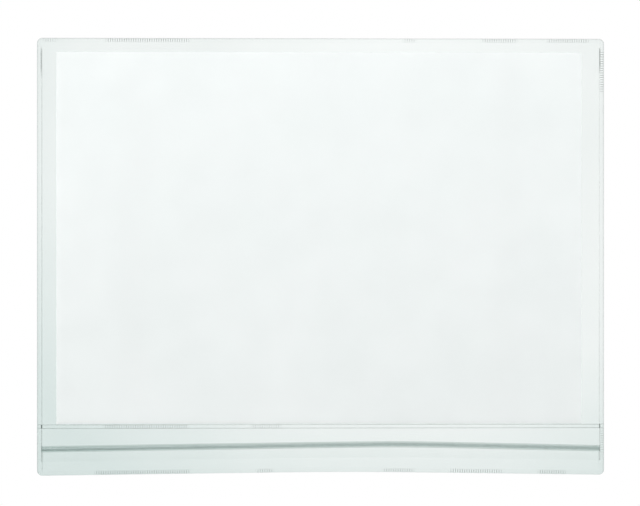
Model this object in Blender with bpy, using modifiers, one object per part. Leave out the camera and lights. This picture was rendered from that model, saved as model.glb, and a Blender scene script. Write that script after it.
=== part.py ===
"""Magnetic document pocket: a clear soft-film pocket that hangs on a steel wall by two magnet strips.

The pocket is drawn lying down: X to the right, Y up the pocket, Z from the steel towards the viewer.
An empty then stands it up, so that in the finished model the steel is the plane Y = 0, the front looks
along -Y and Z is up. Every height is counted from the pocket's lower edge.
"""
import math

import bmesh
import bpy
from mathutils import Vector

MM = 0.001

# Film and fits
FILM = 0.3 * MM
SEAT_GAP = 0.3 * MM

# Welded margin: knurled weld, a smooth land beside it, then the film rises to the window
WELD_WIDTH = 2.5 * MM
WELD_LAND = 0.6 * MM
FLANK_WIDTH = 4.6 * MM
CORNER_RADIUS = 3 * MM
CORNER_STEPS = 6

# Cross ribs that the welding tool leaves in the film
KNURL_PITCH = 1.5 * MM
KNURL_CREST = 0.02 * MM
KNURL_DEPTH = 0.14 * MM

# Document, and the room beside it
SHEET_WIDTH = 297 * MM
SHEET_HEIGHT = 210 * MM
SHEET_THICKNESS = 0.15 * MM
SHEET_SIDE_SHIFT = -1 * MM
SHEET_SIDE_ROOM = 4.3 * MM

# Lower closure
SEAM_HEIGHT = 2.3 * MM
SEAM_LOWER_EDGE = 26.4 * MM
FLAP_LOWER_EDGE = 10 * MM
TRACK_LOWER_EDGE = 14 * MM
TRACK_HEIGHT = 3.5 * MM
TRACK_RIDGE = 0.8 * MM
TRACK_HOOK = 0.25 * MM
TRACK_DEPTH = 1 * MM
RIB_CLEARANCE = 0.1 * MM
RIB_DEPTH = 0.6 * MM
RIB_STEM = 0.6 * MM

# Magnets and their tape
MAGNET_WIDTH = 15 * MM
MAGNET_LENGTH = 190 * MM
MAGNET_THICKNESS = 1.2 * MM
MAGNET_EDGE = 0.3 * MM
MAGNET_FROM_SIDE = 55 * MM
TAPE_MARGIN = 0.5 * MM
TAPE_THICKNESS = 0.2 * MM

# Layers, counted from the steel towards the viewer
TAPE_REAR = MAGNET_THICKNESS + SEAT_GAP
BACK_REAR = TAPE_REAR + TAPE_THICKNESS + SEAT_GAP
WELD_REAR = BACK_REAR + FILM + SEAT_GAP
WELD_FRONT = WELD_REAR + FILM
TRACK_FRONT = WELD_FRONT + TRACK_DEPTH
SHEET_REAR = TRACK_FRONT + SEAT_GAP
WINDOW_REAR = SHEET_REAR + SHEET_THICKNESS + SEAT_GAP
WINDOW_FRONT = WINDOW_REAR + FILM
FLAP_REAR = max(WINDOW_FRONT + SEAT_GAP, WINDOW_REAR + RIB_DEPTH)
FLAP_FRONT = FLAP_REAR + FILM

# Outline of the pocket, which is made to fit the document
BORDER = WELD_WIDTH + WELD_LAND + FLANK_WIDTH
SHEET_LOWER_EDGE = SEAM_LOWER_EDGE + SEAM_HEIGHT + SEAT_GAP
POCKET_WIDTH = SHEET_WIDTH + 2 * (SHEET_SIDE_ROOM + BORDER)
POCKET_HEIGHT = SHEET_LOWER_EDGE + SHEET_HEIGHT + SEAT_GAP + BORDER

# Places that several pieces share
HALF_WIDTH = POCKET_WIDTH / 2
FUSED = WELD_WIDTH + WELD_LAND / 2
WINDOW_HALF = HALF_WIDTH - BORDER - SEAT_GAP
LIP_HALF = HALF_WIDTH - FUSED - SEAT_GAP
WINDOW_TOP = POCKET_HEIGHT - BORDER - SEAT_GAP
HINGE_HEIGHT = SEAM_LOWER_EDGE
TRACK_MOUTH = TRACK_HEIGHT - 2 * (TRACK_RIDGE + TRACK_HOOK)
RIB_HEAD = TRACK_MOUTH - 2 * RIB_CLEARANCE
OVERRUN = 1 * MM


def clear_scene():
    """Remove whatever the scene holds."""
    for old in list(bpy.data.objects):
        bpy.data.objects.remove(old, do_unlink=True)


def new_collection(name):
    """Collection of the given name under the scene."""
    collection = bpy.data.collections.new(name)
    bpy.context.scene.collection.children.link(collection)
    return collection


def new_empty(name, parent, place):
    """Empty that carries other pieces."""
    empty = bpy.data.objects.new(name, None)
    empty.parent = parent
    empty.location = place
    PARTS.objects.link(empty)
    return empty


def finish(name, colour, roughness, metallic=0.0, alpha=1.0):
    """Principled material of one piece."""
    material = bpy.data.materials.new(name)
    material.use_nodes = True
    shader = material.node_tree.nodes["Principled BSDF"]
    shader.inputs["Base Color"].default_value = (*colour, 1.0)
    shader.inputs["Roughness"].default_value = roughness
    shader.inputs["Metallic"].default_value = metallic
    shader.inputs["Alpha"].default_value = alpha
    return material


def clear_film(name):
    """Clear PVC film with a faint cool tint."""
    return finish(f"{name}_film", (0.86, 0.91, 0.90), 0.12, alpha=0.3)


def place(mesh, name, parent, material=None, collection=None):
    """Object made from a mesh, in its collection and under its parent."""
    piece = bpy.data.objects.new(name, mesh)
    piece.parent = parent
    (collection or PARTS).objects.link(piece)
    if material:
        mesh.materials.append(material)
    return piece


def make_cutter(mesh, name, parent):
    """Object that only shapes others."""
    cutter = place(mesh, name, parent, collection=CUTTERS)
    cutter.hide_render = True
    cutter.display_type = "WIRE"
    return cutter


def combine(piece, other, operation):
    """Cut, trim or join a piece by another object."""
    modifier = piece.modifiers.new(f"{operation.lower()}_{other.name}", "BOOLEAN")
    modifier.operation = operation
    modifier.object = other
    modifier.solver = "EXACT"


def outline_mesh(name, points, thickness):
    """Closed mesh of a flat outline in XY, from Z = 0 to its thickness."""
    curve = bpy.data.curves.new(name, "CURVE")
    curve.dimensions = "2D"
    curve.fill_mode = "BOTH"
    curve.extrude = thickness / 2
    spline = curve.splines.new("POLY")
    spline.points.add(len(points) - 1)
    for corner, (x, y) in zip(spline.points, points):
        corner.co = (x, y, 0, 1)
    spline.use_cyclic_u = True
    drawing = bpy.data.objects.new(name, curve)
    CUTTERS.objects.link(drawing)
    view = bpy.context.evaluated_depsgraph_get()
    mesh = bpy.data.meshes.new_from_object(drawing.evaluated_get(view))
    bpy.data.objects.remove(drawing, do_unlink=True)
    shape = bmesh.new()
    shape.from_mesh(mesh)
    bmesh.ops.remove_doubles(shape, verts=shape.verts, dist=0.000001)
    bmesh.ops.translate(shape, verts=shape.verts, vec=(0, 0, thickness / 2))
    bmesh.ops.recalc_face_normals(shape, faces=shape.faces)
    shape.to_mesh(mesh)
    shape.free()
    return mesh


def bar_mesh(name, section, length):
    """Bar along X, centred on X = 0, whose section is drawn in height (Y) and depth (Z)."""
    mesh = outline_mesh(name, section, length)
    for corner in mesh.vertices:
        height, depth, along = corner.co
        corner.co = (along - length / 2, height, depth)
    return mesh


def rectangle(low, high):
    """Corners of a rectangle from its lowest to its highest corner."""
    return [low, (high[0], low[1]), high, (low[0], high[1])]


def rounded_outline(half_width, height, radius):
    """Pocket outline with round corners, starting at the lower right one."""
    points = []
    corners = [(1, 0), (1, 1), (-1, 1), (-1, 0)]
    for turn, (side, level) in enumerate(corners):
        centre_x = side * (half_width - radius)
        centre_y = height - radius if level else radius
        for step in range(CORNER_STEPS + 1):
            angle = math.pi / 2 * (turn - 1 + step / CORNER_STEPS)
            points.append((centre_x + radius * math.cos(angle), centre_y + radius * math.sin(angle)))
    return points


def film_along(name, section, sweep, parent):
    """Film whose rear face follows an open section and is drawn out along a direction."""
    mesh = bpy.data.meshes.new(name)
    shape = bmesh.new()
    corners = [shape.verts.new(point) for point in section]
    edges = [shape.edges.new(pair) for pair in zip(corners, corners[1:])]
    drawn = bmesh.ops.extrude_edge_only(shape, edges=edges)["geom"]
    moved = [item for item in drawn if isinstance(item, bmesh.types.BMVert)]
    bmesh.ops.translate(shape, verts=moved, vec=sweep)
    shape.normal_update()
    facing_back = [face for face in shape.faces if face.normal.z < 0]
    bmesh.ops.reverse_faces(shape, faces=facing_back)
    shape.to_mesh(mesh)
    shape.free()
    piece = place(mesh, name, parent, clear_film(name))
    thicken = piece.modifiers.new("film_thickness", "SOLIDIFY")
    thicken.thickness = FILM
    thicken.offset = 1
    thicken.use_even_offset = True
    return piece


def flat_piece(name, low, high, rear, thickness, material, parent):
    """Rectangular plate from its lowest to its highest corner, at a depth from the steel."""
    mesh = outline_mesh(name, rectangle(low, high), thickness)
    piece = place(mesh, name, parent, material)
    piece.location = (0, 0, rear)
    return piece


def block_cutter(name, low, high, parent):
    """Cutter block from its lowest to its highest corner."""
    mesh = outline_mesh(name, rectangle(low[:2], high[:2]), high[2] - low[2])
    cutter = make_cutter(mesh, name, parent)
    cutter.location = (0, 0, low[2])
    return cutter


def outline_cutter(parent):
    """Round-cornered prism that trims the welded margins."""
    mesh = outline_mesh("pocket_outline", rounded_outline(HALF_WIDTH, POCKET_HEIGHT, CORNER_RADIUS), FLAP_FRONT)
    return make_cutter(mesh, "pocket_outline", parent)


def margin_zone(side, parent):
    """Cutter for one margin: a trapezium whose ends run at 45 degrees into the corners."""
    reach = BORDER + OVERRUN
    half_gap = SEAT_GAP / math.sqrt(2)
    along = HALF_WIDTH if side in ("top", "bottom") else POCKET_HEIGHT / 2
    edge = [(-along - OVERRUN + half_gap, -OVERRUN), (along + OVERRUN - half_gap, -OVERRUN)]
    inner = [(along - reach - half_gap, reach), (-along + reach + half_gap, reach)]
    points = []
    for length, inward in edge + inner:
        if side == "top":
            points.append((length, POCKET_HEIGHT - inward))
        elif side == "bottom":
            points.append((length, inward))
        elif side == "left":
            points.append((-HALF_WIDTH + inward, POCKET_HEIGHT / 2 + length))
        else:
            points.append((HALF_WIDTH - inward, POCKET_HEIGHT / 2 + length))
    mesh = outline_mesh(f"{side}_zone", points, FLAP_FRONT)
    return make_cutter(mesh, f"{side}_zone", parent)


def knurl_rows(shape, low, high, front, teeth, far):
    """Crest, valley and top corners of a knurl comb on its near or its far long side."""
    width = high[0] - low[0]
    height = high[1] - low[1]

    def row(count, start, depth):
        corners = []
        for step in range(count):
            share = (step + start) / teeth
            if width > height:
                corners.append(shape.verts.new((low[0] + width * share, high[1] if far else low[1], depth)))
            else:
                corners.append(shape.verts.new((high[0] if far else low[0], low[1] + height * share, depth)))
        return corners

    crests = row(teeth + 1, 0, front - KNURL_CREST)
    valleys = row(teeth, 0.5, front - KNURL_DEPTH)
    tops = row(teeth + 1, 0, front + OVERRUN)
    return crests, valleys, tops


def knurl_cutter(name, low, high, front, parent):
    """Comb of V-shaped teeth over a weld: the teeth follow each other along the weld's length."""
    length = max(high[0] - low[0], high[1] - low[1])
    teeth = max(1, round(length / KNURL_PITCH))
    shape = bmesh.new()
    sides = [knurl_rows(shape, low, high, front, teeth, far) for far in (False, True)]
    (crest, valley, top), (far_crest, far_valley, far_top) = sides
    for tooth in range(teeth):
        after = tooth + 1
        for crests, valleys, tops in sides:
            shape.faces.new((crests[tooth], valleys[tooth], crests[after], tops[after], tops[tooth]))
        shape.faces.new((crest[tooth], valley[tooth], far_valley[tooth], far_crest[tooth]))
        shape.faces.new((valley[tooth], crest[after], far_crest[after], far_valley[tooth]))
        shape.faces.new((top[tooth], top[after], far_top[after], far_top[tooth]))
    for end in (0, teeth):
        shape.faces.new((crest[end], top[end], far_top[end], far_crest[end]))
    bmesh.ops.recalc_face_normals(shape, faces=shape.faces)
    mesh = bpy.data.meshes.new(name)
    shape.to_mesh(mesh)
    shape.free()
    return make_cutter(mesh, name, parent)


def back_panel(parent):
    """Back film, the full outline of the pocket."""
    outline = rounded_outline(HALF_WIDTH, POCKET_HEIGHT, CORNER_RADIUS)
    panel = place(outline_mesh("back_panel", outline, FILM), "back_panel", parent, clear_film("back_panel"))
    panel.location = (0, 0, BACK_REAR)


def margin_section(rising):
    """Distance from the pocket's edge and depth of a margin's rear face."""
    section = [(-OVERRUN, WELD_REAR), (WELD_WIDTH + WELD_LAND, WELD_REAR)]
    if rising:
        section.append((BORDER, WINDOW_REAR))
    else:
        section[1] = (FUSED, WELD_REAR)
    return section


def top_margin(outline, parent):
    """Weld along the top edge, with the film rising to the window."""
    section = [Vector((-HALF_WIDTH, POCKET_HEIGHT - inward, depth)) for inward, depth in margin_section(True)]
    margin = film_along("top_edge_weld", section, Vector((POCKET_WIDTH, 0, 0)), parent)
    combine(margin, margin_zone("top", parent), "INTERSECT")
    combine(margin, outline, "INTERSECT")
    low = (-HALF_WIDTH - OVERRUN, POCKET_HEIGHT - WELD_WIDTH)
    high = (HALF_WIDTH + OVERRUN, POCKET_HEIGHT + OVERRUN)
    combine(margin, knurl_cutter("top_knurl", low, high, WELD_FRONT, parent), "DIFFERENCE")


def side_margin(side, outline, parent):
    """Weld along one side; the rising film beside it stops where the front film ends at the seam."""
    sign = -1 if side == "left" else 1
    section = [
        Vector((sign * (HALF_WIDTH - inward), -OVERRUN, depth)) for inward, depth in margin_section(True)
    ]
    margin = film_along(f"{side}_edge_weld", section, Vector((0, POCKET_HEIGHT + 2 * OVERRUN, 0)), parent)
    inner_x = sign * (HALF_WIDTH - FUSED)
    far_x = sign * (HALF_WIDTH - BORDER - OVERRUN)
    low = (min(inner_x, far_x), -2 * OVERRUN, 0)
    high = (max(inner_x, far_x), SEAM_LOWER_EDGE, FLAP_FRONT + OVERRUN)
    combine(margin, block_cutter(f"{side}_mouth", low, high, parent), "DIFFERENCE")
    combine(margin, margin_zone(side, parent), "INTERSECT")
    combine(margin, outline, "INTERSECT")
    weld_x = sign * (HALF_WIDTH - WELD_WIDTH)
    outside_x = sign * (HALF_WIDTH + OVERRUN)
    low = (min(weld_x, outside_x), -OVERRUN)
    high = (max(weld_x, outside_x), POCKET_HEIGHT + OVERRUN)
    combine(margin, knurl_cutter(f"{side}_knurl", low, high, WELD_FRONT, parent), "DIFFERENCE")


def bottom_margin(outline, parent):
    """Flat weld along the lower edge."""
    section = [Vector((-HALF_WIDTH, inward, depth)) for inward, depth in margin_section(False)]
    margin = film_along("bottom_edge_weld", section, Vector((POCKET_WIDTH, 0, 0)), parent)
    combine(margin, margin_zone("bottom", parent), "INTERSECT")
    combine(margin, outline, "INTERSECT")
    low = (-HALF_WIDTH - OVERRUN, -OVERRUN)
    high = (HALF_WIDTH + OVERRUN, WELD_WIDTH)
    combine(margin, knurl_cutter("bottom_knurl", low, high, WELD_FRONT, parent), "DIFFERENCE")


def front_window(parent):
    """Flat front film over the document; its lower margin lies behind the seam."""
    low = (-WINDOW_HALF, SEAM_LOWER_EDGE)
    high = (WINDOW_HALF, WINDOW_TOP)
    flat_piece("front_window", low, high, WINDOW_REAR, FILM, clear_film("front_window"), parent)


def flap_seam(parent):
    """Fixed upper margin of the flap, welded on the lower margin of the front film."""
    low = (-WINDOW_HALF, SEAM_LOWER_EDGE)
    high = (WINDOW_HALF, SEAM_LOWER_EDGE + SEAM_HEIGHT)
    seam = flat_piece("flap_seam", low, high, FLAP_REAR, FILM, clear_film("flap_seam"), parent)
    low = (-WINDOW_HALF - OVERRUN, SEAM_LOWER_EDGE - OVERRUN)
    high = (WINDOW_HALF + OVERRUN, SEAM_LOWER_EDGE + SEAM_HEIGHT + OVERRUN)
    combine(seam, knurl_cutter("seam_knurl", low, high, FLAP_FRONT, parent), "DIFFERENCE")


def rib_section(middle):
    """Arrow-headed rib: stem on the flap's rear face, head towards the steel."""
    tip = FLAP_REAR - RIB_DEPTH
    neck = tip + RIB_DEPTH / 2
    root = FLAP_REAR + FILM / 2
    return [
        (middle - RIB_STEM / 2, tip),
        (middle + RIB_STEM / 2, tip),
        (middle + RIB_HEAD / 2, neck),
        (middle + RIB_STEM / 2, neck),
        (middle + RIB_STEM / 2, root),
        (middle - RIB_STEM / 2, root),
        (middle - RIB_STEM / 2, neck),
        (middle - RIB_HEAD / 2, neck),
    ]


def closing_flap(parent):
    """Flap that hangs from the seam and carries the closure's rib; its origin is on the hinge line."""
    hinge = new_empty("flap_hinge_line", parent, (0, HINGE_HEIGHT, FLAP_FRONT))
    low = (-HALF_WIDTH, FLAP_LOWER_EDGE - HINGE_HEIGHT)
    high = (HALF_WIDTH, -SEAT_GAP)
    flap = flat_piece("closing_flap", low, high, -FILM, FILM, clear_film("closing_flap"), hinge)
    middle = TRACK_LOWER_EDGE + TRACK_HEIGHT / 2
    rib = make_cutter(bar_mesh("closure_rib", rib_section(middle), 2 * LIP_HALF), "closure_rib", hinge)
    rib.location = (0, -HINGE_HEIGHT, -FLAP_FRONT)
    combine(flap, rib, "UNION")


def track_section():
    """Two hooked ridges with a groove between them, rooted in the lip's film."""
    low = TRACK_LOWER_EDGE
    high = low + TRACK_HEIGHT
    root = WELD_REAR + FILM / 2
    hook_under = TRACK_FRONT - TRACK_HOOK
    inner_low = low + TRACK_RIDGE
    inner_high = high - TRACK_RIDGE
    return [
        (low, root),
        (low, TRACK_FRONT),
        (inner_low, TRACK_FRONT),
        (inner_low + TRACK_HOOK, hook_under),
        (inner_low, hook_under),
        (inner_low, WELD_FRONT + FILM),
        (inner_high, WELD_FRONT + FILM),
        (inner_high, hook_under),
        (inner_high - TRACK_HOOK, hook_under),
        (inner_high, TRACK_FRONT),
        (high, TRACK_FRONT),
        (high, root),
    ]


def retaining_lip(parent):
    """Lip that stands on the lower weld and carries the grooved track on its top edge."""
    low = (-LIP_HALF, FUSED + SEAT_GAP)
    high = (LIP_HALF, TRACK_LOWER_EDGE + TRACK_HEIGHT + FILM)
    lip = flat_piece("retaining_lip", low, high, WELD_REAR, FILM, clear_film("retaining_lip"), parent)
    track = bar_mesh("closure_track", track_section(), 2 * (LIP_HALF - SEAT_GAP))
    combine(lip, make_cutter(track, "closure_track", parent), "UNION")


def magnet_middle_height():
    """The strips are centred on the document."""
    return SHEET_LOWER_EDGE + SHEET_HEIGHT / 2


def magnet_strip(side, sign, parent):
    """Flexible magnet strip against the steel, with its edges eased."""
    half = (MAGNET_WIDTH / 2, MAGNET_LENGTH / 2)
    mesh = outline_mesh(f"magnet_strip_{side}", rectangle((-half[0], -half[1]), half), MAGNET_THICKNESS)
    material = finish(f"magnet_{side}", (0.055, 0.045, 0.04), 0.75)
    strip = place(mesh, f"magnet_strip_{side}", parent, material)
    strip.location = (sign * (HALF_WIDTH - MAGNET_FROM_SIDE), magnet_middle_height(), 0)
    ease = strip.modifiers.new("eased_edges", "BEVEL")
    ease.width = MAGNET_EDGE
    ease.segments = 2
    ease.limit_method = "ANGLE"


def adhesive_tape(side, sign, parent):
    """Double-sided tape between a magnet strip and the back film."""
    half = (MAGNET_WIDTH / 2 - TAPE_MARGIN, MAGNET_LENGTH / 2 - TAPE_MARGIN)
    mesh = outline_mesh(f"adhesive_tape_{side}", rectangle((-half[0], -half[1]), half), TAPE_THICKNESS)
    material = finish(f"tape_{side}", (0.80, 0.78, 0.70), 0.55)
    tape = place(mesh, f"adhesive_tape_{side}", parent, material)
    tape.location = (sign * (HALF_WIDTH - MAGNET_FROM_SIDE), magnet_middle_height(), TAPE_REAR)


def document_sheet(parent):
    """White sheet behind the window, with its lower edge on the seam."""
    low = (SHEET_SIDE_SHIFT - SHEET_WIDTH / 2, SHEET_LOWER_EDGE)
    high = (SHEET_SIDE_SHIFT + SHEET_WIDTH / 2, SHEET_LOWER_EDGE + SHEET_HEIGHT)
    paper = finish("document_paper", (0.90, 0.91, 0.90), 0.8)
    flat_piece("document_sheet", low, high, SHEET_REAR, SHEET_THICKNESS, paper, parent)


def build():
    """Make every piece, then stand the pocket up with its middle at the origin."""
    upright = new_empty("pocket_frame", None, (0, 0, -POCKET_HEIGHT / 2))
    upright.rotation_euler = (math.pi / 2, 0, 0)
    outline = outline_cutter(upright)
    back_panel(upright)
    front_window(upright)
    top_margin(outline, upright)
    side_margin("left", outline, upright)
    side_margin("right", outline, upright)
    bottom_margin(outline, upright)
    flap_seam(upright)
    closing_flap(upright)
    retaining_lip(upright)
    document_sheet(upright)
    for side, sign in (("left", -1), ("right", 1)):
        magnet_strip(side, sign, upright)
        adhesive_tape(side, sign, upright)
    bpy.context.view_layer.update()


clear_scene()
PARTS = new_collection("magnetic_document_pocket")
CUTTERS = new_collection("cutters")
build()
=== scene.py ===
"""Looks of the magnetic document pocket: clear film, knurled welds, grooved closure, paper and magnets.

World axes: X to the viewer's right, Z up, and the front looks along -Y. Lengths are metres.
"""
import math

import bmesh
import bpy
import numpy as np
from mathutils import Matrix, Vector

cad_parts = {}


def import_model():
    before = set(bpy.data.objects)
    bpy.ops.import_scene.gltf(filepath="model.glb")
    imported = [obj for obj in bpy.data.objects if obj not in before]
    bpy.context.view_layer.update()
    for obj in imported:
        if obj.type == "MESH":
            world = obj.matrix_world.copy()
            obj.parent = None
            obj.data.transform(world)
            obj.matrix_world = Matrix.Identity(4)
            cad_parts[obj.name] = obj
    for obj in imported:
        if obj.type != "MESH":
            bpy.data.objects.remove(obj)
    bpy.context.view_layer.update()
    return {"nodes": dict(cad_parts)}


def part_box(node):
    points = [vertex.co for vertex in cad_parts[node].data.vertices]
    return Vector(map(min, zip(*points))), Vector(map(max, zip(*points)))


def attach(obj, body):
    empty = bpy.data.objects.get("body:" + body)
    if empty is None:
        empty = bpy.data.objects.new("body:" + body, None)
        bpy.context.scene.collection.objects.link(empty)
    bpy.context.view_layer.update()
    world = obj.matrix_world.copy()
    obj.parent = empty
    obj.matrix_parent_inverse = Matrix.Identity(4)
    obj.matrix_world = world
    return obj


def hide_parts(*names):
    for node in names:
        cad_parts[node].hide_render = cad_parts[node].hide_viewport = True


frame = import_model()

MM = 0.001
MERGE_REACH = 0.001 * MM
SHARP_TURN = math.radians(60)

# Photograph's frame
IMAGE_WIDTH = 640
METRES_PER_PIXEL = 0.566 * MM
CAMERA_DISTANCE = 1.6
CAMERA_YAW = math.radians(1.4)
AIM = Vector((-0.68 * MM, -3 * MM, 2.03 * MM))
SENSOR_WIDTH = 36

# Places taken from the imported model
BACK_LOW, BACK_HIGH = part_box("back_panel")
SEAM_LOW, SEAM_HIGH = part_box("flap_seam")
FLAP_LOW, FLAP_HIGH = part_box("closing_flap")
LIP_LOW, LIP_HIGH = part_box("retaining_lip")
LEFT = BACK_LOW.x
RIGHT = BACK_HIGH.x
BOTTOM = BACK_LOW.z
TOP = BACK_HIGH.z
FILM = BACK_HIGH.y - BACK_LOW.y
WELD_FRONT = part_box("bottom_edge_weld")[0].y
WINDOW_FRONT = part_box("front_window")[0].y
SEAM_FRONT = SEAM_LOW.y
HINGE_Z = SEAM_LOW.z
TRACK_FRONT = LIP_LOW.y
TRACK_TOP = LIP_HIGH.z - FILM

# Welded margins
WELD_WIDTH = 2.5 * MM
SIDE_FLANK = 8.3 * MM
TOP_FLANK = 5.2 * MM
FLANK_POWER = 1.05
FINE_REACH = 1.2
FEATHER = 2.0 * MM
CORNER_RADIUS = 3 * MM
CORNER_STEPS = 10
CORNER_GROOVE = 0.6
EDGE_ROLL = 0.8 * MM
EDGE_DROP = 0.22 * MM
LOWER_EDGE_DROP = 0.08 * MM
LOWER_EDGE_TURN = 0.5
KNURL_PITCH = 1.3 * MM
KNURL_DEPTH = 0.3 * MM
KNURL_STEPS = (0.0, 0.35, 0.5, 0.65)
KNURL_BOTTOM = 0.5
PRESS_LEAST = 0.05
PRESS_MOST = 0.72
PRESS_FADE = 4 * MM

# Stretches where the tool pressed the knurl deep: middle and reach in millimetres, and share of the depth
PRESSED_TOP = ((-153, 6, 0.75), (-98, 26, 0.9), (50, 6, 0.7), (101, 12, 0.9), (140, 14, 0.85))
PRESSED_BOTTOM = ((-101, 29, 1.0), (-32, 7, 0.8), (44, 11, 0.8), (88, 17, 0.9), (131, 10, 0.95))
PRESSED_SEAM = ((-99, 26, 1.0), (-31, 11, 0.75))
PRESSED_RIGHT = ((105, 14, 0.9), (-105, 10, 0.65))

# Film drawn up beside the side welds
PINCH_TOP = 120 * MM
PINCH_LEFT = 22 * MM
PINCH_RIGHT = 18 * MM
PINCH_RISE = 2.0 * MM
PINCH_WIDTH = 0.45 * MM
PINCH_ONSET = 5
PINCH_FADE = 2.5
PINCH_REST_LEFT = 0.5
PINCH_REST_RIGHT = 0.42
BEAD_WIDTH = 0.5 * MM
BEAD_HEIGHT = 0.39 * MM

# Lip's film beside its ends, drawn up in a bead that grows towards the track
LIP_BEAD = 0.9 * MM
LIP_BEAD_RIGHT = 0.4 * LIP_BEAD
LIP_CRUSH = 0.7 * MM
LIP_BEAD_START = 0.2 * MM
LIP_BEAD_RISE = 0.3 * MM
LIP_BEAD_STOP = 1.2 * MM
LIP_BEAD_FALL = 0.5 * MM
LIP_BORDER = 2 * MM
LIP_GAP = 0.05 * MM

# Slow waves of the window film, in radians a metre
RIPPLE_HEIGHT = 0.05 * MM
RIPPLE_ACROSS = 52
RIPPLE_SLANT = 3
RIPPLE_UP = 38
RIPPLE_START = 0.6

# Closure profile
TRACK_HEIGHT = 3.5 * MM
TRACK_RIDGE = 0.8 * MM
TRACK_HOOK = 0.25 * MM
TRACK_LAP = 0.3 * MM
RIB_HEAD = 1.2 * MM
RIB_STEM = 0.6 * MM
RIB_DEPTH = 0.6 * MM
RIB_GAP = 0.02 * MM

# The lower edge, the flap's free edge and the closure bow upwards between the corners
BOTTOM_BOW = {"middle": 12 * MM, "round": 30 * MM, "apex": 1.6 * MM, "left": 1.85 * MM, "right": 1.85 * MM}
TRACK_BOW = {"middle": 40 * MM, "round": 17 * MM, "apex": 1.5 * MM, "left": 2.55 * MM, "right": 2.5 * MM}
RIB_BOW = {"middle": 40 * MM, "round": 17 * MM, "apex": 1.55 * MM, "left": 3.0 * MM, "right": 2.5 * MM}
FLAP_BOW = {"middle": 30 * MM, "round": 40 * MM, "apex": 0.0 * MM, "left": 2.3 * MM, "right": 1.8 * MM}

# Ends of the seam and the flap, which come down on the side welds
END_START = 157.8 * MM
END_STOP = 158.2 * MM
END_SEAT = 0.35 * MM
END_INSET = 0.3 * MM

# Seam's rolled rims, and the flap's rows from its free edge up
SEAM_ROLL = 0.3 * MM
SEAM_DROP = 0.28 * MM
SEAM_SHOULDER = 0.1 * MM
SEAM_FILM = 0.25 * MM
FLAP_BORDER = 12 * MM
FLAP_LEVELS = (0, 0.015, 0.03, 0.15, 0.35, 0.55, 0.75, 0.9, 0.97, 0.985, 1)
FLAP_RIM = 0.03
FLAP_TUCK = 0.2 * MM

# Mesh spacing
END_CROWDING = 1.8
BAR_STEPS = 90
BACK_STEPS = 80

# Ranges of a noise that colours and roughness are spread over
NOISE_RANGE = (0.3, 0.7)
SPECK_RANGE = (0.62, 0.78)
ROUGH_RANGE = (0.3, 0.75)

# Film's reflections
FACE_GLOSS = 0.018
GLOSS_POWER = 5.0
FILM_SHEEN = (0.93, 0.96, 0.95)
FILM_SHADE = (0.9, 0.93, 0.92)

# Painted light on the back film: its tint is clearest near a place by the upper edge, a painted highlight,
# and deepens with the distance from there, most at the lower left corner, painted shade of the studio's
# falloff
SHADE_CENTRE = (45 * MM, 0.0, 95 * MM)
SHADE_REACH = 0.3
MIDDLE_SHADE = (0.972, 0.974, 0.974)
SHADE_FULL_PLACE = 0.1
SHADE_MIDDLE_PLACES = (0.39, 0.633)
SHADE_NONE_PLACE = 0.87

# Studio
FLOOR_LEVEL = -0.46
FLOOR_RADIUS = 3.4
FLOOR_SIDES = 64
FLOOR_FADE = (0.03, 0.45)
AMBIENT = 0.4
KEY_POWER = 25.5
KEY_PLACE = (-0.2, -1.0, 1.25)
FILL_POWER = 12
FILL_PLACE = (0.25, 1.25, 0.95)
BOX_AIM = (0, 0, 0)
BOX_SIZE = (1.6, 0.8)
SIDE_POWER = 4.0
SIDE_REACH = 1.15
SIDE_PLACE = (-0.3, 0.3)
SIDE_AIM = (0, 0, 0.02)
SIDE_SIZE = (0.2, 0.8)

# Film faces that a line of sight may cross
CLEAR_FACES = 32


def bow(x, line):
    """Height by which a bowed line lies above its straight place."""
    end = np.where(x < line["middle"], LEFT, RIGHT)
    drop = np.where(x < line["middle"], line["left"], line["right"])

    def run(place):
        """Distance from the middle, rounded off close to it."""
        return np.sqrt((place - line["middle"]) ** 2 + line["round"] ** 2) - line["round"]

    return line["apex"] - drop * run(x) / run(end)


def smooth_step(value):
    """Eased ramp from 0 to 1."""
    value = np.clip(value, 0, 1)
    return value * value * (3 - 2 * value)


def grid_normals(points, closed):
    """Unit normals of a grid of points, rows first."""
    if closed:
        along = np.roll(points, -1, axis=1) - np.roll(points, 1, axis=1)
    else:
        along = np.gradient(points, axis=1)
    across = np.gradient(points, axis=0)
    normals = np.cross(along, across)
    return normals / np.linalg.norm(normals, axis=2, keepdims=True)


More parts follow.
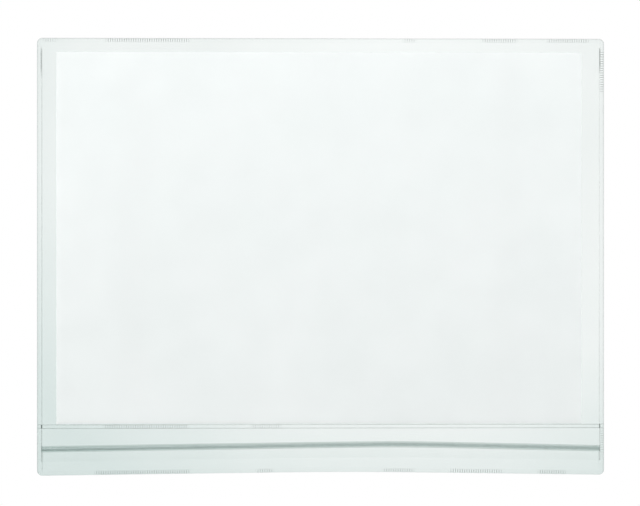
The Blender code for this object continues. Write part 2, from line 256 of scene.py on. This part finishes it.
def film_mesh(name, points, thickness, closed=False, faceted=False):
    """Closed film behind a grid of front points; columns may run round as a ring.

    The thickness is one length or a grid of them. Where it falls to zero the film ends in a feathered edge,
    which is how it runs on into a neighbour that it is fused to.
    """
    rows, columns = points.shape[:2]
    depth = np.broadcast_to(thickness, (rows, columns))[:, :, None]
    rear = points - grid_normals(points, closed) * depth
    corners = np.concatenate([points.reshape(-1, 3), rear.reshape(-1, 3)])
    offset = rows * columns
    last = columns if closed else columns - 1
    faces = []
    rim = []
    for row in range(rows - 1):
        for column in range(last):
            after = (column + 1) % columns
            quad = (row * columns + column, row * columns + after, (row + 1) * columns + after,
                    (row + 1) * columns + column)
            faces.append(quad)
            faces.append(tuple(offset + corner for corner in reversed(quad)))
    for column in range(last):
        after = (column + 1) % columns
        upper = (rows - 1) * columns
        rim.append((after, column, offset + column, offset + after))
        rim.append((upper + column, upper + after, offset + upper + after, offset + upper + column))
    if not closed:
        for row in range(rows - 1):
            low = row * columns
            high = low + columns
            rim.append((low, high, offset + high, offset + low))
            low += columns - 1
            high += columns - 1
            rim.append((high, low, offset + low, offset + high))
    mesh = bpy.data.meshes.new(name)
    mesh.from_pydata(corners.tolist(), [], faces + rim)
    smooth = [not faceted] * len(faces) + [False] * len(rim)
    mesh.polygons.foreach_set("use_smooth", smooth)
    shape = bmesh.new()
    shape.from_mesh(mesh)
    bmesh.ops.remove_doubles(shape, verts=shape.verts, dist=MERGE_REACH)
    for edge in shape.edges:
        edge.smooth = edge.calc_face_angle(0) < SHARP_TURN
    shape.to_mesh(mesh)
    shape.free()
    return mesh


def add_piece(mesh, name, material, body):
    """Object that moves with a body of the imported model."""
    piece = bpy.data.objects.new(name, mesh)
    bpy.context.scene.collection.objects.link(piece)
    mesh.materials.append(material)
    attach(piece, body)
    return piece


# Materials


def node(tree, kind, **values):
    """Shader node with its settings and unlinked inputs."""
    made = tree.nodes.new(kind)
    for key, value in values.items():
        if key in made.inputs:
            made.inputs[key].default_value = value
        else:
            setattr(made, key, value)
    return made


def ramp(tree, source, low, high, first, second):
    """Colour ramp between two places of a source."""
    made = tree.nodes.new("ShaderNodeValToRGB")
    made.color_ramp.elements[0].position = low
    made.color_ramp.elements[1].position = high
    made.color_ramp.elements[0].color = (*first, 1)
    made.color_ramp.elements[1].color = (*second, 1)
    tree.links.new(source, made.inputs["Fac"])
    return made.outputs["Color"]


def noise(tree, place, scale, detail):
    """Noise in the object's own coordinates."""
    made = node(tree, "ShaderNodeTexNoise", Scale=scale, Detail=detail)
    tree.links.new(place, made.inputs["Vector"])
    return made.outputs["Fac"]


def new_material(name):
    """Empty node material, with its tree and output."""
    material = bpy.data.materials.new(name)
    material.use_nodes = True
    tree = material.node_tree
    tree.nodes.clear()
    return material, tree, tree.nodes.new("ShaderNodeOutputMaterial")


def maths(tree, operation, first, second):
    """Math node on two inputs, each a socket or a number."""
    made = tree.nodes.new("ShaderNodeMath")
    made.operation = operation
    for socket, value in zip(made.inputs, (first, second)):
        if isinstance(value, (int, float)):
            socket.default_value = value
        else:
            tree.links.new(value, socket)
    return made.outputs[0]


def mix_colour(tree, factor, first, second, blend="MIX"):
    """Mix of two colours, each a socket or a tuple."""
    made = tree.nodes.new("ShaderNodeMix")
    made.data_type = "RGBA"
    made.blend_type = blend
    if isinstance(factor, (int, float)):
        made.inputs[0].default_value = factor
    else:
        tree.links.new(factor, made.inputs[0])
    for socket, value in zip((made.inputs[6], made.inputs[7]), (first, second)):
        if isinstance(value, tuple):
            socket.default_value = (*value, 1)
        else:
            tree.links.new(value, socket)
    return made.outputs[2]


def painted_highlight_and_shade(tree, place, shade):
    """Painted highlight and painted shade: a tint that is clearest near a place by the upper edge and
    deepens with the distance from there.
    """
    scale = node(tree, "ShaderNodeMapping")
    scale.inputs["Location"].default_value = tuple(-part / SHADE_REACH for part in SHADE_CENTRE)
    scale.inputs["Scale"].default_value = (1 / SHADE_REACH, 0, 1 / SHADE_REACH)
    tree.links.new(place, scale.inputs["Vector"])
    ball = node(tree, "ShaderNodeTexGradient", gradient_type="SPHERICAL")
    tree.links.new(scale.outputs["Vector"], ball.inputs["Vector"])
    made = tree.nodes.new("ShaderNodeValToRGB")
    stops = made.color_ramp.elements
    stops[0].position = SHADE_FULL_PLACE
    stops[0].color = (*shade, 1)
    stops[1].position = SHADE_NONE_PLACE
    stops[1].color = (1, 1, 1, 1)
    for middle in SHADE_MIDDLE_PLACES:
        stops.new(middle).color = (*MIDDLE_SHADE, 1)
    tree.links.new(ball.outputs["Fac"], made.inputs["Fac"])
    return made.outputs["Color"]


def film_material(name, face, edge, turn, rough=(0.05, 0.14), shade=None, steep=None):
    """Clear film: what is behind it shows through a tint that deepens where the film turns away.

    A film with steep set keeps its face tint up to the first turn and deepens fully from the second.
    """
    material, tree, output = new_material(name)
    place = tree.nodes.new("ShaderNodeTexCoord").outputs["Object"]
    soft = noise(tree, place, scale=18, detail=3)
    fine = noise(tree, place, scale=900, detail=2)
    turned = node(tree, "ShaderNodeLayerWeight", Blend=0.5).outputs["Facing"]
    deepening = maths(tree, "POWER", turned, turn)
    if steep:
        deepening = maths(tree, "MULTIPLY", deepening, ramp(tree, turned, *steep, (0, 0, 0), (1, 1, 1)))
    tint = mix_colour(tree, deepening, face, edge)
    cloudy = ramp(tree, soft, *NOISE_RANGE, (0.992, 0.994, 0.9935), (1, 1, 1))
    tint = mix_colour(tree, 1.0, tint, cloudy, "MULTIPLY")
    # For a film with shade set, a painted highlight and painted shade are multiplied into its tint
    if shade:
        tint = mix_colour(tree, 1.0, tint, painted_highlight_and_shade(tree, place, shade), "MULTIPLY")
    clear = tree.nodes.new("ShaderNodeBsdfTransparent")
    tree.links.new(tint, clear.inputs["Color"])
    solid = node(tree, "ShaderNodeBsdfPrincipled", IOR=1.52, Metallic=0.85)
    tree.links.new(mix_colour(tree, soft, FILM_SHEEN, FILM_SHADE), solid.inputs["Base Color"])
    uneven = ramp(tree, soft, *ROUGH_RANGE, (rough[0],) * 3, (rough[1],) * 3)
    tree.links.new(uneven, solid.inputs["Roughness"])
    bump = node(tree, "ShaderNodeBump", Strength=0.03, Distance=0.2 * MM)
    tree.links.new(fine, bump.inputs["Height"])
    tree.links.new(bump.outputs["Normal"], solid.inputs["Normal"])
    glancing = maths(tree, "MULTIPLY", maths(tree, "POWER", turned, GLOSS_POWER), 1 - FACE_GLOSS)
    share = maths(tree, "ADD", glancing, FACE_GLOSS)
    mix = tree.nodes.new("ShaderNodeMixShader")
    tree.links.new(share, mix.inputs["Fac"])
    tree.links.new(clear.outputs[0], mix.inputs[1])
    tree.links.new(solid.outputs[0], mix.inputs[2])
    tree.links.new(mix.outputs[0], output.inputs["Surface"])
    return material


def paper_material():
    """Plain white paper with a fine fibre grain that lets a little light through."""
    material, tree, output = new_material("paper")
    place = tree.nodes.new("ShaderNodeTexCoord").outputs["Object"]
    fibre = noise(tree, place, scale=2600, detail=4)
    cloud = noise(tree, place, scale=60, detail=3)
    tone = ramp(tree, cloud, *NOISE_RANGE, (0.931, 0.951, 0.950), (0.951, 0.971, 0.970))
    grain = ramp(tree, fibre, *NOISE_RANGE, (0.985, 0.985, 0.985), (1, 1, 1))
    colour = mix_colour(tree, 1.0, tone, grain, "MULTIPLY")
    solid = node(tree, "ShaderNodeBsdfPrincipled", Roughness=0.85)
    solid.inputs["Specular IOR Level"].default_value = 0.2
    tree.links.new(colour, solid.inputs["Base Color"])
    bump = node(tree, "ShaderNodeBump", Strength=0.25, Distance=0.05 * MM)
    tree.links.new(fibre, bump.inputs["Height"])
    tree.links.new(bump.outputs["Normal"], solid.inputs["Normal"])
    through = tree.nodes.new("ShaderNodeBsdfTranslucent")
    tree.links.new(colour, through.inputs["Color"])
    mix = node(tree, "ShaderNodeMixShader", Fac=0.08)
    tree.links.new(solid.outputs[0], mix.inputs[1])
    tree.links.new(through.outputs[0], mix.inputs[2])
    tree.links.new(mix.outputs[0], output.inputs["Surface"])
    return material


def magnet_material():
    """Ferrite-filled rubber: near black brown, with fine lengthwise calender marks and pale specks."""
    material, tree, output = new_material("ferrite_rubber")
    place = tree.nodes.new("ShaderNodeTexCoord").outputs["Object"]
    stretch = node(tree, "ShaderNodeMapping")
    stretch.inputs["Scale"].default_value = (1, 1, 0.04)
    tree.links.new(place, stretch.inputs["Vector"])
    lines = noise(tree, stretch.outputs["Vector"], scale=1800, detail=3)
    specks = noise(tree, place, scale=4200, detail=2)
    tone = ramp(tree, lines, *NOISE_RANGE, (0.035, 0.028, 0.025), (0.07, 0.058, 0.052))
    dust = ramp(tree, specks, *SPECK_RANGE, (0, 0, 0), (0.05, 0.045, 0.04))
    solid = tree.nodes.new("ShaderNodeBsdfPrincipled")
    tree.links.new(mix_colour(tree, 1.0, tone, dust, "ADD"), solid.inputs["Base Color"])
    tree.links.new(ramp(tree, lines, *NOISE_RANGE, (0.6,) * 3, (0.82,) * 3), solid.inputs["Roughness"])
    bump = node(tree, "ShaderNodeBump", Strength=0.4, Distance=0.08 * MM)
    tree.links.new(lines, bump.inputs["Height"])
    tree.links.new(bump.outputs["Normal"], solid.inputs["Normal"])
    tree.links.new(solid.outputs[0], output.inputs["Surface"])
    return material


def tape_material():
    """Thin double-sided tape: pale carrier with glue mottling."""
    material, tree, output = new_material("tape")
    place = tree.nodes.new("ShaderNodeTexCoord").outputs["Object"]
    mottle = noise(tree, place, scale=700, detail=4)
    solid = tree.nodes.new("ShaderNodeBsdfPrincipled")
    tree.links.new(ramp(tree, mottle, *NOISE_RANGE, (0.7, 0.67, 0.57), (0.84, 0.82, 0.74)),
                   solid.inputs["Base Color"])
    tree.links.new(ramp(tree, mottle, *NOISE_RANGE, (0.35,) * 3, (0.6,) * 3), solid.inputs["Roughness"])
    tree.links.new(solid.outputs[0], output.inputs["Surface"])
    return material


# Pieces


def corner_centres():
    """Middles of the round corners and the angles where they begin, counter-clockwise from the front."""
    return (
        (RIGHT - CORNER_RADIUS, BOTTOM + CORNER_RADIUS, -90),
        (RIGHT - CORNER_RADIUS, TOP - CORNER_RADIUS, 0),
        (LEFT + CORNER_RADIUS, TOP - CORNER_RADIUS, 90),
        (LEFT + CORNER_RADIUS, BOTTOM + CORNER_RADIUS, 180),
    )


def round_corner(x, z, angle):
    """Place on the outer edge of a round corner."""
    return x + CORNER_RADIUS * math.cos(angle), z + CORNER_RADIUS * math.sin(angle)


def knurl_shares(length):
    """Shares of a length where its knurl has places, each with its share of the groove's depth."""
    count = round(length / KNURL_PITCH)
    shares = []
    for tooth in range(count):
        for step in KNURL_STEPS:
            shares.append(((tooth + step) / count, 1.0 if step == KNURL_BOTTOM else 0.0))
    return shares


def edge_outline():
    """Places along the pocket's outer edge and their inward directions, counter-clockwise from the front.

    Each place also has its share of a groove's depth, and the grooves run on round the corners.
    """
    places = []
    previous = (LEFT + CORNER_RADIUS, BOTTOM)
    for x, z, turn in corner_centres():
        start = math.radians(turn)
        target = round_corner(x, z, start)
        for along, groove in knurl_shares(math.dist(previous, target)):
            px = previous[0] + (target[0] - previous[0]) * along
            pz = previous[1] + (target[1] - previous[1]) * along
            places.append((px, pz, -math.cos(start), -math.sin(start), groove))
        for step in range(CORNER_STEPS):
            angle = start + math.pi / 2 * step / CORNER_STEPS
            groove = CORNER_GROOVE if step % 2 else 0.0
            places.append((*round_corner(x, z, angle), -math.cos(angle), -math.sin(angle), groove))
        previous = round_corner(x, z, start + math.pi / 2)
    return np.array(places)


def pinch(x, z):
    """Shares by which film beside a side weld is drawn up: a peak below the upper corner, and the rest."""
    reach = np.where(x < 0, PINCH_LEFT, PINCH_RIGHT)
    along = (PINCH_TOP - z) / reach
    beside = (np.abs(x) > RIGHT - WELD_WIDTH - SIDE_FLANK) & (z > HINGE_Z)
    start = np.where(beside, smooth_step(along * PINCH_ONSET), 0)
    rest = np.where(x < 0, PINCH_REST_LEFT, PINCH_REST_RIGHT)
    return start * smooth_step((1 - along) * PINCH_FADE), start * rest


def lower_lift(x, z):
    """Upward shift of the lower edge's bow, fading out at the seam."""
    share = 1 - smooth_step((z - BOTTOM) / (HINGE_Z - BOTTOM))
    return bow(x, BOTTOM_BOW) * share


def pressed_depth(place, stretches):
    """Share of the knurl's depth that the tool pressed at places along an edge."""
    depth = np.full_like(place, PRESS_LEAST)
    for middle, reach, share in stretches:
        inside = smooth_step((reach * MM - np.abs(place - middle * MM)) / PRESS_FADE)
        depth = np.maximum(depth, PRESS_MOST * share * inside)
    return depth


def edge_weld(material):
    """Knurled weld right round the pocket, with a rolled outer edge."""
    outline = edge_outline()
    x, z, in_x, in_z, groove = outline.T
    diagonal = math.sqrt(0.5)
    on_bottom = in_z > diagonal
    on_top = in_z < -diagonal
    on_right = in_x < 0
    pressed = np.select(
        [on_bottom, on_top, on_right],
        [pressed_depth(x, PRESSED_BOTTOM), pressed_depth(x, PRESSED_TOP), pressed_depth(z, PRESSED_RIGHT)],
        PRESS_LEAST,
    )
    depth = groove * KNURL_DEPTH * pressed
    rows = []
    widths = (0.0, 0.5 * EDGE_ROLL, EDGE_ROLL, 0.45 * WELD_WIDTH, WELD_WIDTH - BEAD_WIDTH, WELD_WIDTH)
    rolled = np.where(in_z > LOWER_EDGE_TURN, LOWER_EDGE_DROP, EDGE_DROP)
    drops = (1.0, 0.35, 0, 0, 0, 0)
    grooved = (0.6, 1, 1, 1, 0.8, 0)
    raised = (0, 0, 0, 0, 0, BEAD_HEIGHT)
    for width, drop, share, bead in zip(widths, drops, grooved, raised):
        px = x + in_x * width
        pz = z + in_z * width
        pz = pz + lower_lift(px, pz)
        py = WELD_FRONT + drop * rolled + depth * share - bead * pinch(px, pz)[0]
        rows.append(np.stack([px, py, pz], axis=1))
    points = np.array(rows)
    inner = WELD_WIDTH - np.array(widths)
    thickness = FILM * np.clip(inner / FEATHER, 0, 1)[:, None]
    mesh = film_mesh("edge_weld", points, thickness, closed=True, faceted=True)
    piece = add_piece(mesh, "edge_weld", material, "pocket")
    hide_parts("top_edge_weld", "left_edge_weld", "right_edge_weld", "bottom_edge_weld")


def dense_ends(start, stop, border, fine, coarse):
    """Places with close spacing near both ends and wide spacing between."""
    ends = np.linspace(0, 1, fine, endpoint=False) ** END_CROWDING * border
    middle = np.linspace(start + border, stop - border, coarse)
    return np.concatenate([start + ends, middle, (stop - ends)[::-1]])


def front_film(material):
    """Window film with the margins that rise from the welds, in one sheet."""
    left = LEFT + WELD_WIDTH
    right = RIGHT - WELD_WIDTH
    top = TOP - WELD_WIDTH
    x = dense_ends(left, right, SIDE_FLANK * FINE_REACH, fine=18, coarse=90)
    z = dense_ends(HINGE_Z, top, TOP_FLANK * FINE_REACH, fine=14, coarse=70)
    grid_x, grid_z = np.meshgrid(x, z)
    sides = np.minimum(grid_x - left, right - grid_x)
    above = top - grid_z
    near = np.clip(np.minimum(sides / SIDE_FLANK, above / TOP_FLANK), 0, 1)
    rise = 1 - (1 - near) ** FLANK_POWER
    peak, rest = pinch(grid_x, grid_z)
    drawn = smooth_step(sides / PINCH_WIDTH)
    bead = peak * BEAD_HEIGHT * (1 - drawn) + np.maximum(peak, rest) * PINCH_RISE * drawn
    across = np.sin(grid_x * RIPPLE_ACROSS + RIPPLE_SLANT * grid_z)
    ripple = RIPPLE_HEIGHT * across * np.sin(grid_z * RIPPLE_UP + RIPPLE_START) * near
    lift = np.maximum((WELD_FRONT - WINDOW_FRONT) * rise, bead)
    grid_y = WELD_FRONT - lift - ripple
    points = np.stack([grid_x, grid_y, grid_z], axis=2)
    thickness = FILM * np.clip(np.minimum(sides, above) / FEATHER, 0, 1)
    mesh = film_mesh("front_film", points, thickness)
    piece = add_piece(mesh, "front_film", material, "pocket")
    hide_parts("front_window")


def back_film(material):
    """Back sheet with the pocket's whole outline."""
    lower = np.linspace(LEFT + CORNER_RADIUS, RIGHT - CORNER_RADIUS, BACK_STEPS)[1:-1]
    outline = [(x, BOTTOM) for x in lower]
    for x, z, turn in corner_centres():
        for angle in np.radians(np.linspace(turn, turn + 90, CORNER_STEPS + 1)):
            outline.append(round_corner(x, z, angle))
    x, z = np.array(outline).T
    z = z + lower_lift(x, z)
    shape = bmesh.new()
    face = shape.faces.new([shape.verts.new((px, BACK_LOW.y, pz)) for px, pz in zip(x, z)])
    drawn = bmesh.ops.extrude_face_region(shape, geom=[face])["geom"]
    moved = [item for item in drawn if isinstance(item, bmesh.types.BMVert)]
    bmesh.ops.translate(shape, verts=moved, vec=(0, FILM, 0))
    bmesh.ops.recalc_face_normals(shape, faces=shape.faces)
    mesh = bpy.data.meshes.new("back_film")
    shape.to_mesh(mesh)
    shape.free()
    piece = add_piece(mesh, "back_film", material, "pocket")
    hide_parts("back_panel")


def end_level(x, plane):
    """Depth of a film that lies on a plane and comes down on the side welds at its ends."""
    share = smooth_step((np.abs(x) - END_START) / (END_STOP - END_START))
    seat = WELD_FRONT - END_SEAT - FILM
    return plane + (seat - plane) * share


def knurl_run(start, stop):
    """Places along a knurled strip with the depth share of each."""
    places = [(start + (stop - start) * along, groove) for along, groove in knurl_shares(stop - start)]
    places.append((stop, 0.0))
    return np.array(places).T


def seam_band(material):
    """Knurled seam that joins the flap to the front film, with its ends on the side welds."""
    x, groove = knurl_run(LEFT + END_INSET, RIGHT - END_INSET)
    depth = groove * KNURL_DEPTH * pressed_depth(x, PRESSED_SEAM)
    height = SEAM_HIGH.z - SEAM_LOW.z
    shoulder = 0.4 * SEAM_ROLL
    rows = []
    levels = (0.0, shoulder, SEAM_ROLL, 0.5 * height, height - SEAM_ROLL, height - shoulder, height)
    drops = (SEAM_DROP, SEAM_SHOULDER, 0, 0, 0, SEAM_SHOULDER, SEAM_DROP)
    grooved = (0.6, 1, 1, 0.7, 1, 1, 0.6)
    for level, drop, share in zip(levels, drops, grooved):
        y = end_level(x, SEAM_FRONT) + drop + depth * share
        rows.append(np.stack([x, y, 0 * x + SEAM_LOW.z + level], axis=1))
    mesh = film_mesh("seam_band", np.array(rows), SEAM_FILM, faceted=True)
    piece = add_piece(mesh, "seam_band", material, "pocket")
    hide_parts("flap_seam")


def closing_flap(material):
    """Film strip that hangs from the seam, with a bowed free edge and a rim that turns slightly inwards."""
    x = dense_ends(LEFT + END_INSET, RIGHT - END_INSET, FLAP_BORDER, fine=24, coarse=90)
    top = FLAP_HIGH.z
    free = FLAP_LOW.z + bow(x, FLAP_BOW)
    rows = []
    for share in FLAP_LEVELS:
        z = free + (top - free) * share
        rim = max(0.0, 1 - share / FLAP_RIM) ** 2 * FLAP_TUCK
        rows.append(np.stack([x, end_level(x, SEAM_FRONT) + rim, z], axis=1))
    mesh = film_mesh("flap_film", np.array(rows), FILM)
    piece = add_piece(mesh, "flap_film", material, "flap")
    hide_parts("closing_flap")


def swept_bar(name, section, x, material, body, line):
    """Bar along X with a closed section of heights and depths, bowed like a given line."""
    lift = bow(x, line)
    count = len(section)
    corners = [(px, depth, height + up) for px, up in zip(x, lift) for height, depth in section]
    faces = []
    for ring in range(len(x) - 1):
        for step in range(count):
            after = (step + 1) % count
            faces.append((ring * count + step, ring * count + after, (ring + 1) * count + after,
                          (ring + 1) * count + step))
    faces.append(tuple(range(count)))
    faces.append(tuple((len(x) - 1) * count + step for step in range(count)))
    mesh = bpy.data.meshes.new(name)
    mesh.from_pydata(corners, [], faces)
    shape = bmesh.new()
    shape.from_mesh(mesh)
    bmesh.ops.recalc_face_normals(shape, faces=shape.faces)
    shape.to_mesh(mesh)
    shape.free()
    return add_piece(mesh, name, material, body)


def closure_track(material):
    """Two hooked ridges with a groove between them, on the lip's upper edge."""
    high = TRACK_TOP
    low = high - TRACK_HEIGHT
    root = WELD_FRONT
    floor = WELD_FRONT - FILM
    under = TRACK_FRONT + TRACK_HOOK
    inner_low = low + TRACK_RIDGE
    inner_high = high - TRACK_RIDGE
    section = [
        (low, root),
        (low, TRACK_FRONT),
        (inner_low, TRACK_FRONT),
        (inner_low + TRACK_HOOK, under),
        (inner_low, under),
        (inner_low, floor),
        (inner_high, floor),
        (inner_high, under),
        (inner_high - TRACK_HOOK, under),
        (inner_high, TRACK_FRONT),
        (high, TRACK_FRONT),
        (high, root),
    ]
    x = np.linspace(LEFT + WELD_WIDTH - TRACK_LAP, RIGHT - WELD_WIDTH + TRACK_LAP, BAR_STEPS)
    piece = swept_bar("closure_track", section, x, material, "pocket", TRACK_BOW)
    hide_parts("retaining_lip")


def closure_rib(material):
    """Arrow-headed rib on the rear of the flap, opposite the groove."""
    middle = TRACK_TOP - TRACK_HEIGHT / 2
    root = SEAM_FRONT + FILM + RIB_GAP
    tip = root + RIB_DEPTH
    neck = root + RIB_DEPTH / 2
    section = [
        (middle - RIB_STEM / 2, tip),
        (middle + RIB_STEM / 2, tip),
        (middle + RIB_HEAD / 2, neck),
        (middle + RIB_STEM / 2, neck),
        (middle + RIB_STEM / 2, root),
        (middle - RIB_STEM / 2, root),
        (middle - RIB_STEM / 2, neck),
        (middle - RIB_HEAD / 2, neck),
    ]
    x = np.linspace(-END_START, END_START, BAR_STEPS)
    swept_bar("closure_rib", section, x, material, "flap", RIB_BOW)


def lip_film(material):
    """Film of the retaining lip, from the lower weld to the track."""
    x = dense_ends(LEFT + WELD_WIDTH, RIGHT - WELD_WIDTH, LIP_BORDER, fine=14, coarse=80)
    ends = np.minimum(x - x[0], x[-1] - x)
    bead = np.where(x < 0, LIP_BEAD, LIP_BEAD_RIGHT)
    rising = smooth_step((ends - LIP_BEAD_START) / LIP_BEAD_RISE)
    falling = smooth_step((LIP_BEAD_STOP - ends) / LIP_BEAD_FALL)
    low = BOTTOM + WELD_WIDTH + lower_lift(x, BOTTOM + WELD_WIDTH)
    high = TRACK_TOP - TRACK_HEIGHT - LIP_GAP + bow(x, TRACK_BOW)
    shares = np.concatenate([[0.0, 0.04], np.linspace(0.1, 1, 8)])
    rows = []
    for share in shares:
        raised = rising * falling * (bead + LIP_CRUSH * share ** 2)
        rows.append(np.stack([x, WELD_FRONT - raised, low + (high - low) * share], axis=1))
    points = np.array(rows)
    thickness = FILM * np.clip(np.outer(shares, high - low) / FEATHER, 0, 1)
    mesh = film_mesh("lip_film", points, thickness)
    add_piece(mesh, "lip_film", material, "pocket")


def finish_nodes(paper, magnet, tape):
    """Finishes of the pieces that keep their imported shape."""
    for name, material in (
        ("document_sheet", paper),
        ("magnet_strip_left", magnet),
        ("magnet_strip_right", magnet),
        ("adhesive_tape_left", tape),
        ("adhesive_tape_right", tape),
    ):
        piece = frame["nodes"][name]
        piece.data.materials.clear()
        piece.data.materials.append(material)


# Studio


def camera():
    """Long lens at the photograph's distance and angle."""
    data = bpy.data.cameras.new("camera")
    data.sensor_width = SENSOR_WIDTH
    data.lens = SENSOR_WIDTH * CAMERA_DISTANCE / (IMAGE_WIDTH * METRES_PER_PIXEL)
    view = bpy.data.objects.new("camera", data)
    bpy.context.scene.collection.objects.link(view)
    back = Vector((-math.sin(CAMERA_YAW), -math.cos(CAMERA_YAW), 0))
    view.location = AIM + back * CAMERA_DISTANCE
    view.rotation_euler = (-back).to_track_quat("-Z", "Y").to_euler()
    bpy.context.scene.camera = view


def area_light(name, place, target, size, power):
    """Soft box that looks at a place."""
    data = bpy.data.lights.new(name, "AREA")
    data.shape = "RECTANGLE"
    data.size, data.size_y = size
    data.energy = power
    lamp = bpy.data.objects.new(name, data)
    bpy.context.scene.collection.objects.link(lamp)
    lamp.location = place
    lamp.rotation_euler = (Vector(target) - Vector(place)).to_track_quat("-Z", "Y").to_euler()
    return lamp


def seen_directly(tree):
    """1 for what the camera, a reflection or a clear piece looks at, and 0 for light on a surface."""
    path = tree.nodes.new("ShaderNodeLightPath")
    seen = maths(tree, "MAXIMUM", path.outputs["Is Camera Ray"], path.outputs["Is Glossy Ray"])
    return maths(tree, "MAXIMUM", seen, path.outputs["Is Transmission Ray"])


def world():
    """Even pale surroundings; what looks straight at them, or at their reflection, sees white."""
    made = bpy.data.worlds.new("studio")
    bpy.context.scene.world = made
    made.use_nodes = True
    tree = made.node_tree
    tree.nodes.clear()
    light = node(tree, "ShaderNodeBackground", Color=(1, 1, 1, 1), Strength=AMBIENT)
    white = node(tree, "ShaderNodeBackground", Color=(1, 1, 1, 1), Strength=1.0)
    mix = tree.nodes.new("ShaderNodeMixShader")
    tree.links.new(seen_directly(tree), mix.inputs["Fac"])
    tree.links.new(light.outputs[0], mix.inputs[1])
    tree.links.new(white.outputs[0], mix.inputs[2])
    output = tree.nodes.new("ShaderNodeOutputWorld")
    tree.links.new(mix.outputs[0], output.inputs["Surface"])


def floor():
    """Plain pale floor well below the pocket, which fades into the white surroundings."""
    mesh = bpy.data.meshes.new("floor")
    rim = [2 * math.pi * step / FLOOR_SIDES for step in range(FLOOR_SIDES)]
    corners = []
    for turn in rim:
        corners.append((FLOOR_RADIUS * math.cos(turn), FLOOR_RADIUS * math.sin(turn), FLOOR_LEVEL))
    mesh.from_pydata(corners, [], [tuple(range(FLOOR_SIDES))])
    material, tree, output = new_material("floor")
    place = tree.nodes.new("ShaderNodeTexCoord").outputs["Object"]
    solid = node(tree, "ShaderNodeBsdfPrincipled", Roughness=0.7)
    mottle = noise(tree, place, scale=4, detail=3)
    tree.links.new(ramp(tree, mottle, *NOISE_RANGE, (0.66, 0.67, 0.67), (0.69, 0.7, 0.7)),
                   solid.inputs["Base Color"])
    white = node(tree, "ShaderNodeEmission", Color=(1, 1, 1, 1), Strength=1.0)
    shrink = node(tree, "ShaderNodeMapping")
    shrink.inputs["Scale"].default_value = (1 / FLOOR_RADIUS, 1 / FLOOR_RADIUS, 0)
    tree.links.new(place, shrink.inputs["Vector"])
    disc = node(tree, "ShaderNodeTexGradient", gradient_type="SPHERICAL")
    tree.links.new(shrink.outputs["Vector"], disc.inputs["Vector"])
    far = ramp(tree, disc.outputs["Fac"], *FLOOR_FADE, (1, 1, 1), (0, 0, 0))
    mix = tree.nodes.new("ShaderNodeMixShader")
    tree.links.new(maths(tree, "MULTIPLY", far, seen_directly(tree)), mix.inputs["Fac"])
    tree.links.new(solid.outputs[0], mix.inputs[1])
    tree.links.new(white.outputs[0], mix.inputs[2])
    tree.links.new(mix.outputs[0], output.inputs["Surface"])
    mesh.materials.append(material)
    ground = bpy.data.objects.new("floor", mesh)
    bpy.context.scene.collection.objects.link(ground)


FRONT = film_material("front_film", (0.994, 0.996, 0.995), (0.02, 0.04, 0.03), 4.0, steep=(0.45, 0.7))
# The back film's shade colour is painted shade, deepest at the lower left, with a painted highlight near
# the upper edge
BACK = film_material("back_film", (0.972, 0.987, 0.982), (0.4, 0.46, 0.44), 4.0,
                     shade=(0.862, 0.899, 0.895))
WELDED = film_material("welded_film", (0.995, 0.997, 0.996), (0.02, 0.06, 0.05), 1.2, (0.12, 0.2))
TRACK = film_material("closure_track", (0.838, 0.864, 0.857), (0.6, 0.64, 0.63), 1.4, (0.2, 0.3))
RIB = film_material("closure_rib", (0.82, 0.852, 0.845), (0.45, 0.5, 0.49), 1.4, (0.2, 0.3))

back_film(BACK)
front_film(FRONT)
edge_weld(WELDED)
seam_band(WELDED)
lip_film(FRONT)
closure_track(TRACK)
closing_flap(FRONT)
closure_rib(RIB)
finish_nodes(paper_material(), magnet_material(), tape_material())

camera()
for name, place, power in (("key", KEY_PLACE, KEY_POWER), ("fill", FILL_PLACE, FILL_POWER)):
    lamp = area_light(name, place, BOX_AIM, BOX_SIZE, power)
    lamp.visible_glossy = False
for side in (-1, 1):
    area_light("side", (side * SIDE_REACH, *SIDE_PLACE), SIDE_AIM, SIDE_SIZE, SIDE_POWER)
world()
floor()

scene = bpy.context.scene
scene.view_settings.view_transform = "Standard"
scene.cycles.transparent_max_bounces = CLEAR_FACES
